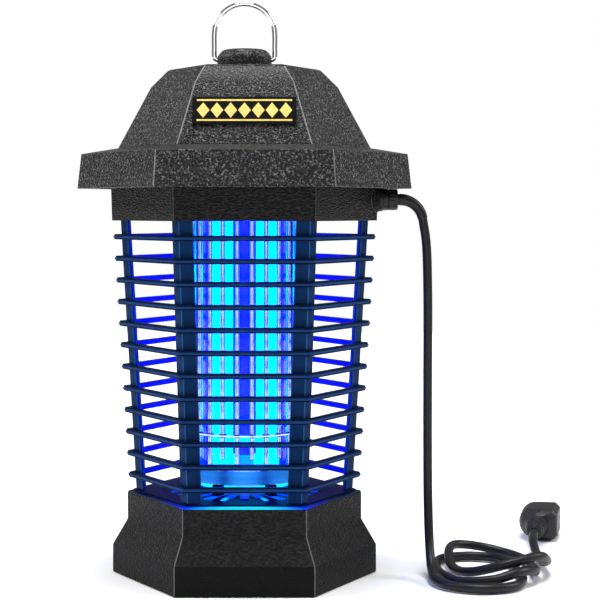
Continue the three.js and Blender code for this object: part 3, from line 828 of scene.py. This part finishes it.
def plug_section(blade_side, pin_side, half_height):
    """The body's outline across its length: flat towards the blades and round towards the ground pin."""
    corner, ease, steps = 3.0, 1.2, 14
    flat = -blade_side
    corners = [(0, half_height), (flat + corner, half_height), (flat, half_height - corner),
               (flat, -half_height + corner), (flat + corner, -half_height), (0, -half_height)]
    outline = rounded(corners, ease, 3)
    centre = pin_side - half_height
    for i in range(1, steps):
        angle = -math.pi / 2 + math.pi * i / steps
        outline.append((centre + half_height * math.cos(angle), half_height * math.sin(angle)))
    return outline


def plug_body():
    """The moulding between the strain relief and the blades, with a ridge along the hollow of its grip."""
    start = PLUG["relief"] + 2 * PLUG["gap"]
    length, half_width, half_height = PLUG["body"], PLUG["half_width"], PLUG["height"] / 2
    points, rows = [], []
    for share, blade_side, pin_side, tall in PLUG_STATIONS:
        section = plug_section(half_width * blade_side, half_width * pin_side, half_height * tall * 0.995)
        rows.append(range(len(points), len(points) + len(section)))
        points += [(start + share * length, x, y) for x, y in section]
    faces = []
    for low, high in zip(rows, rows[1:]):
        count = len(low)
        faces += [(low[i], low[(i + 1) % count], high[(i + 1) % count], high[i]) for i in range(count)]
    faces += [tuple(reversed(rows[0])), tuple(rows[-1])]
    ridge_top = half_height * 0.985
    ridge = prism(rectangle(start + 3, start + length - 0.6, -1.15, -0.35), -ridge_top, ridge_top)
    return combined((points, faces), ridge)


def blade():
    """A flat blade with a hole near its rounded tip."""
    length, width, thick = PLUG["blade"]
    hole_at = length - PLUG["hole_from_tip"]
    corners = [(0, -width / 2, 0), (length, -width / 2), (length, width / 2), (0, width / 2, 0)]
    outline = [(x - hole_at, y) for x, y in rounded(corners, 1.3, 4, True)]
    angles = sorted([math.atan2(y, x) for x, y in outline] + [i * math.pi / 16 for i in range(-16, 16)])
    outer = [edge_point(outline, angle) for angle in angles]
    inner = [(PLUG["hole"] * math.cos(a), PLUG["hole"] * math.sin(a)) for a in angles]
    count = len(angles)
    points = []
    for z in (-thick / 2, thick / 2):
        points += [(x + hole_at, y, z) for x, y in outer] + [(x + hole_at, y, z) for x, y in inner]
    faces = []
    for i in range(count):
        j = (i + 1) % count
        faces.append((j, i, count + i, count + j))
        faces.append((2 * count + i, 2 * count + j, 3 * count + j, 3 * count + i))
        faces.append((i, j, 2 * count + j, 2 * count + i))
        faces.append((count + j, count + i, 3 * count + i, 3 * count + j))
    return points, faces


def edge_point(outline, angle):
    """Where a ray from the origin meets a closed outline round it."""
    direction = Vector((math.cos(angle), math.sin(angle)))
    best = None
    for a, b in zip(outline, outline[1:] + outline[:1]):
        a, b = Vector(a), Vector(b)
        edge = b - a
        cross = direction.x * edge.y - direction.y * edge.x
        if abs(cross) < 1e-9:
            continue
        along = (a.x * edge.y - a.y * edge.x) / cross
        share = (a.x * direction.y - a.y * direction.x) / cross
        if along > 0 and -1e-6 <= share <= 1 + 1e-6 and (best is None or along < best):
            best = along
    return direction.x * best, direction.y * best


def make_plug():
    face = PLUG["relief"] + PLUG["body"] + 3 * PLUG["gap"]
    pieces = []
    for name, shape, node in (("plug_ribbed_relief", strain_relief(), "plug_strain_relief"),
                              ("plug_moulding", plug_body(), "plug_body")):
        pieces.append(build(name, in_plug(shape), PLUG_RUBBER, "base", [node], 32))
    for side, node in ((1, "plug_blade_line"), (-1, "plug_blade_neutral")):
        shape = shifted(blade(), face, PLUG["blade_offset"], side * PLUG["blade_apart"] / 2)
        pieces.append(build(node + "_drilled", in_plug(shape), NICKEL, "base", [node]))
    radius, end = PLUG["pin_radius"], face + PLUG["pin_length"]
    profile = [(0, face), (radius, face), (radius, end - PLUG["pin_tip"]), (radius * 0.45, end), (0, end)]
    pin = shifted(along_x(lathe(rounded(profile, 1.2, 5), 40)), 0, PLUG["pin_offset"])
    pieces.append(build("plug_ground_pin_round", in_plug(pin), NICKEL, "base", ["plug_ground_pin"]))
    return pieces


# ---- Lantern body: foot, collar, roof ----
CROWN = {"above": 301, "width": 2.2, "segments": 3}      # the roof's edges above that height are rounder
BOSS_PROFILE = [(0, 301.9), (16.3, 301.9), (16.3, 308.8, 4), (13.4, 313, 5), (8, 313.5, 6), (0, 313.5)]


def make_body():
    eased("foot_moulding", "base_tray", [LEATHER, FOOT_EDGE], 0.45, body="base")
    eased("collar_moulding", "upper_housing", [LEATHER, FOOT_EDGE], 0.4)
    eased("brim_moulding", "roof_brim", [PEBBLED, ROOF_EDGE], 0.45)
    crown = [(lambda middle: middle.z > CROWN["above"], CROWN["width"], CROWN["segments"])]
    eased("roof_moulding", "roof_cover", [PEBBLED, ROOF_EDGE], 0.5, special=crown)
    boss = lathe(rounded(BOSS_PROFILE, 0.5, 6), 96)
    build("boss_moulding", boss, PEBBLED, "lantern", ["hanger_boss"])


# ---- Guard, drop grille and hub ----
SLOT_END = 50                        # every slot in the grille ends inside this radius
POST = {"foot": 65.1, "foot_z": 50.3, "lean": 8.9 / 155, "gap": 0.3}
RIB = {"out": 0.5, "root": 1, "above_bottom": 0.9, "below_top": 1}
LIP_PROFILE = [(67, 47.2), (69.9, 47.2), (69.9, 48.8), (67, 49.3)]


def make_guard_ring(node):
    """A ring of the guard's plastic in lit and shaded copies: painted dark as shade, with the lamp's blue
    light painted on its inner faces and a lighter lit rib round the middle of its outer face.
    """
    low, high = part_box(node)
    outer, bottom, top = high.x / MM, low.z / MM, high.z / MM
    inner = POST["foot"] + (top - POST["foot_z"]) * POST["lean"] + POST["gap"] / FLAT
    face = outer - RIB["out"]
    ring = band(inner, face, bottom, top, 0.3, 2, SIDES)
    rib = band(face - RIB["root"], outer, bottom + RIB["above_bottom"], top - RIB["below_top"], 0.2, 2, SIDES)
    obj = build(f"{node}_band", ring, [RING_SHADED, RING_LAMP_LIT], "lantern", [node])
    # inward faces take the lamp's blue light, painted on
    for side in obj.data.polygons:
        if side.normal.xy.dot(side.center.xy) < -0.5 * side.center.xy.length:
            side.material_index = 1
    build(f"{node}_rib", rib, RING_RIB_LIT, "lantern")


def make_guard():
    for i in range(1, 7):
        eased(f"guard_post_{i}_moulding", f"guard_post_{i}", [GUARD, GUARD_HIGHLIGHT], 0.45)
    for i in range(1, 13):
        make_guard_ring(f"guard_ring_{i:02d}")
    # the grille's eased edges take the lighter guard navy as a painted highlight line
    grille = eased("grille_moulding", "drop_grille", [DECK, GUARD, LIT_SLOT], 0.25, segments=1)
    # slot walls inside SLOT_END glow blue: the lamp's light painted on
    for face in grille.data.polygons:
        if abs(face.normal.z) < 0.5 and face.center.xy.length < SLOT_END * MM:
            face.material_index = 2
    eased("skirt_moulding", "drop_skirt", [GUARD, GUARD_HIGHLIGHT], 0.3)
    lip = lathe(rounded(LIP_PROFILE, 0.3, 2, True), SIDES)
    build("lit_lip", lip, LIT_LIP, "base")


HUB_RING = (24, 27, 50.3, 53.3)      # inner and outer radius, bottom and top
HUB_CAP = [(14, 54.6), (24, 54.6), (24, 53.4), (27, 53.4), (27, 56.6), (14, 56.6)]
HUB_LUG = (27.2, 34.5, -2, 2)        # its two ends and its two sides
HUB_LUG_Z = (50.3, 56.7)


def make_hub():
    # hub ring and cap glow: the lamp's light painted on
    build("hub_ring", band(*HUB_RING, 0.3), LIT_DEEP, "lantern", ["grid_hub"])
    build("hub_cap", lathe(rounded(HUB_CAP, 0.3, 3, True), 96), LIT_HUB, "lantern")
    lug = prism(rounded(rectangle(*HUB_LUG), 0.6, 3, True), *HUB_LUG_Z)
    build("hub_lugs", around(6, lug), DECK, "lantern")


# ---- High-voltage grid ----
GRID = {"radius": 33.0, "wire": 1.35, "rods": 24, "standing": (61.8, 213.4), "hanging": (72, 217.6)}
DRUM_PROFILE = [(34.35, 57), (34.35, 65.8), (31.05, 65.8), (31.05, 58.6), (26, 58.6), (26, 57)]
# a thin sheet just outside the drum's face, carrying the painted blue reflection
DRUM_REFLECTION_SHEET = (34.36, 34.44, 57.5, 65.3)         # of each ring: inner and outer radius, bottom and top
HANGING_RING = (31.4, 34.6, 216.8, 218.4)
EYELET_RING = (1.6, 2.5, 84.9, 86.7)
HOOP = {"radius": 35.4, "wire": 0.35, "z": 85.8}


def wire_rod(bottom, top):
    wire = GRID["wire"]
    profile = rounded([(0, bottom), (wire, bottom, 0.7), (wire, top, 0.7), (0, top)], 0.7, 4)
    return shifted(lathe(profile, 20), GRID["radius"])


def make_grid():
    half = GRID["rods"] // 2
    drum = lathe(rounded(DRUM_PROFILE, 0.45, 4, True), 144)
    standing = around(half, wire_rod(*GRID["standing"]), -0.25)
    build("return_electrode", combined(drum, standing), WIRE, "lantern",
          ["grid_electrode_return"])
    # the sheet over the drum's face with the lamp's blue reflection painted on
    build("drum_reflection_sheet", band(*DRUM_REFLECTION_SHEET, 0.02, 1, 144), DRUM, "lantern")
    hanging = around(half, wire_rod(*GRID["hanging"]), 0.25)
    build("live_electrode", combined(band(*HANGING_RING, 0.4), hanging), WIRE, "lantern",
          ["grid_electrode_live"])

    section = [on_circle(HOOP["radius"], HOOP["z"], HOOP["wire"], degrees) for degrees in range(0, 360, 30)]
    # the hoop glows white: painted lamp light
    build("spacer_hoop", lathe(section, 160), LIT_HOOP, "lantern", ["grid_spacer_hoop"])
    eyelet = shifted(band(*EYELET_RING, 0.4, 3, 24), GRID["radius"])
    build("hoop_eyelets", around(GRID["rods"], eyelet, 0.5), EYELET, "lantern")


# ---- Lamp ----
LAMP = {"leg": 6.2, "side": 13.1, "dome": 4.4, "dome_z": 71.0, "top": 210.4, "bridge": 3, "bridge_z": 78.6}
CUP_PROFILE = [(0, 60), (7.7, 60), (7.7, 70.6), (6.5, 70.6), (6.5, 66.3), (0, 66.3)]
FOOT_PROFILE = [(0, 56.9), (23.2, 56.9), (23.2, 60.4), (0, 60.4)]
WEB = (-5.6, 5.6, -2.5, 2.5)
WEB_Z = (60, 69.6)
SLEEVE_RING = (23.6, 25, 57, 210.7)  # inner and outer radius, bottom and top


def at_both_legs(shape):
    return combined(*(shifted(shape, side * LAMP["side"]) for side in (-1, 1)))


def make_lamp():
    turns = [i * math.pi / 16 for i in range(9)]
    dome = [(LAMP["leg"] * math.sin(a), LAMP["dome_z"] - LAMP["dome"] * math.cos(a)) for a in turns]
    leg = lathe(dome + [(LAMP["leg"], LAMP["top"]), (0, LAMP["top"])], 40)
    reach, thick = LAMP["side"], LAMP["bridge"]
    bridge = along_x(lathe([(0, -reach), (thick, -reach), (thick, reach), (0, reach)], 24))
    glass = combined(at_both_legs(leg), shifted(bridge, z=LAMP["bridge_z"]))
    build("lamp_glass", glass, LAMP_GLASS, "lantern", ["lamp_tube"])

    cup = lathe(rounded(CUP_PROFILE, 0.5, 3), 40)
    # cups and web glow cyan and blue: the lamp's light painted on
    build("lamp_cups", at_both_legs(cup), LIT_CUP, "lantern", ["lamp_cradle"])
    web = prism(rounded(rectangle(*WEB), 0.6, 3, True), *WEB_Z)
    foot = lathe(rounded(FOOT_PROFILE, 0.6, 3), 64)
    build("lamp_foot", combined(web, foot), LIT_WEB, "lantern")
    build("sleeve_glass", band(*SLEEVE_RING, 0.4), SLEEVE, "lantern", ["lamp_sleeve"])


# ---- Hanging loop, badge, gland ----
LOOP = {"half": 18.1, "top": 342.25, "pivot": 307.3, "bend": 2.2, "wire": 1.5}
MOTIF = {"side_diamonds": 3, "pitch": 7.8, "half_wide": 3.6, "half_tall": 4.9, "line_at": 6.4,
         "line_half": 0.5, "line_reach": 27}
MOTIF_Z = (0.25, 0.5)
BADGE = {"half_wide": 29.5, "bottom": 265.4, "top": 281.2}
BADGE_Z = (-0.5, 0.3)
ROOF_SLOPE = ((75.9, 254.3), (56.2, 290.7))    # corner radius and height at the slope's two ends
GLAND_BODY = [(3.2, 68), (5, 68), (5, 80.7), (7.1, 80.7), (7.1, 82.7), (6.4, 83), (6.4, 86), (3.2, 86)]
GLAND_NUT = [(3.2, 86.3), (6.3, 86.3), (6.3, 86.9), (5.9, 86.9), (5.9, 90), (6.3, 90), (6.3, 91.6),
             (3.2, 91.6)]
GRIP = {"flutes": 18, "per_flute": 6, "radius": 6.15, "depth": 0.15}
GRIP_REACH = (86.9, 90)


def make_loop():
    """The loop's middle line runs from one inturned end, over the arch, to the other."""
    half, pivot, bend, wire = LOOP["half"], LOOP["pivot"], LOOP["bend"], LOOP["wire"]
    arch = LOOP["top"] - wire - half
    right = [(12, pivot), (14, pivot), (half - bend, pivot)]
    right += [on_circle(half - bend, pivot + bend, bend, degrees) for degrees in (-60, -30, 0)]
    right.append((half, pivot + 7))
    over = [on_circle(0, arch, half, degrees) for degrees in range(0, 181, 15)]
    left = [(-x, z) for x, z in reversed(right)]
    knots = [Vector((x, 0, z)) for x, z in right + over + left]
    path, _ = evenly(catmull_rom(knots, 10), 0.7)
    build("chrome_loop", tube_along(path, wire, 24), CHROME, "hanger", ["hanging_loop"], 50)


def badge_motif():
    """Diamonds between two thin lines."""
    wide, tall = MOTIF["half_wide"], MOTIF["half_tall"]
    outlines = []
    for i in range(-MOTIF["side_diamonds"], MOTIF["side_diamonds"] + 1):
        middle = i * MOTIF["pitch"]
        outlines.append([(middle - wide, 0), (middle, -tall), (middle + wide, 0), (middle, tall)])
    reach, half_line = MOTIF["line_reach"], MOTIF["line_half"]
    for height in (-MOTIF["line_at"], MOTIF["line_at"]):
        outlines.append(rectangle(-reach, reach, height - half_line, height + half_line))
    return combined(*(prism(outline, *MOTIF_Z) for outline in outlines))


def make_badge():
    (low_radius, low_z), (high_radius, high_z) = ROOF_SLOPE
    lean = math.atan2(FLAT * (low_radius - high_radius), high_z - low_z)
    half_wide = BADGE["half_wide"]
    half_tall = (BADGE["top"] - BADGE["bottom"]) / math.cos(lean) / 2
    low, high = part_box("badge")
    place = Matrix.Translation((low + high) / 2 / MM) @ Matrix.Rotation(math.pi / 2 - lean, 4, "X")
    plate = prism(rounded(rectangle(-half_wide, half_wide, -half_tall, half_tall), 0.8, 3, True), *BADGE_Z)
    black = moulded("badge_black", (0.0015, 0.0015, 0.002), 0.45, 0.01, Specular_IOR_Level=0.08)
    gold = moulded("badge_gold", (0.75, 0.58, 0.15), 0.4, 0.01)
    build("badge_plate", moved(plate, place), black, "lantern", ["badge"])
    build("badge_motif", moved(badge_motif(), place), gold, "lantern")


def in_gland(shape):
    return shifted(along_x(shape), z=GLAND_Z)


def make_gland():
    body = lathe(rounded(GLAND_BODY, 0.3, 3, True), 64)
    build("gland_flange", in_gland(body), RUBBER, "lantern", ["gland_body"])
    count = GRIP["flutes"] * GRIP["per_flute"]
    outline = []
    for i in range(count):
        angle = i * 2 * math.pi / count
        radius = GRIP["radius"] + GRIP["depth"] * math.cos(GRIP["flutes"] * angle)
        outline.append((radius * math.cos(angle), radius * math.sin(angle)))
    nut = combined(lathe(rounded(GLAND_NUT, 0.25, 3, True), 64), prism(outline, *GRIP_REACH))
    build("gland_fluted_nut", in_gland(nut), RUBBER, "lantern", ["gland_nut"], 30)


# ---- Inside pieces that stay as the frame has them ----
def finish_inside():
    board = moulded("board_green", (0.03, 0.16, 0.06), 0.45, 0.02)
    dark = moulded("coil_sleeve", (0.02, 0.02, 0.02), 0.5)
    copper = plated("copper_winding", (0.35, 0.14, 0.05), (0.62, 0.3, 0.14), 0.35)
    film = moulded("capacitor_film", (0.4, 0.04, 0.03), 0.3)
    fuse = moulded("fuse_glass", (0.6, 0.62, 0.56), 0.15)
    screw = plated("screw_steel", (0.4, 0.41, 0.43), (0.7, 0.71, 0.73), 0.3)
    looks = {"circuit_board": board, "lamp_choke": dark, "hv_transformer": copper, "mains_fuse": fuse,
             "hv_capacitor_1": film, "hv_capacitor_2": film, "lamp_base": WHITE, "lamp_socket": WHITE,
             "grid_upper_insulator": WHITE, "lamp_pin_1": NICKEL, "lamp_pin_2": NICKEL,
             "roof_screw_1": screw, "roof_screw_2": screw, "roof_screw_3": screw}
    for node, look in looks.items():
        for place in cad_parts[node].material_slots:
            place.material = look


make_camera()
boot = make_boot()
make_cord([boot, *make_plug()])
make_stage()
make_lights()
make_body()
make_guard()
make_hub()
make_grid()
make_lamp()
make_loop()
make_badge()
make_gland()
finish_inside()
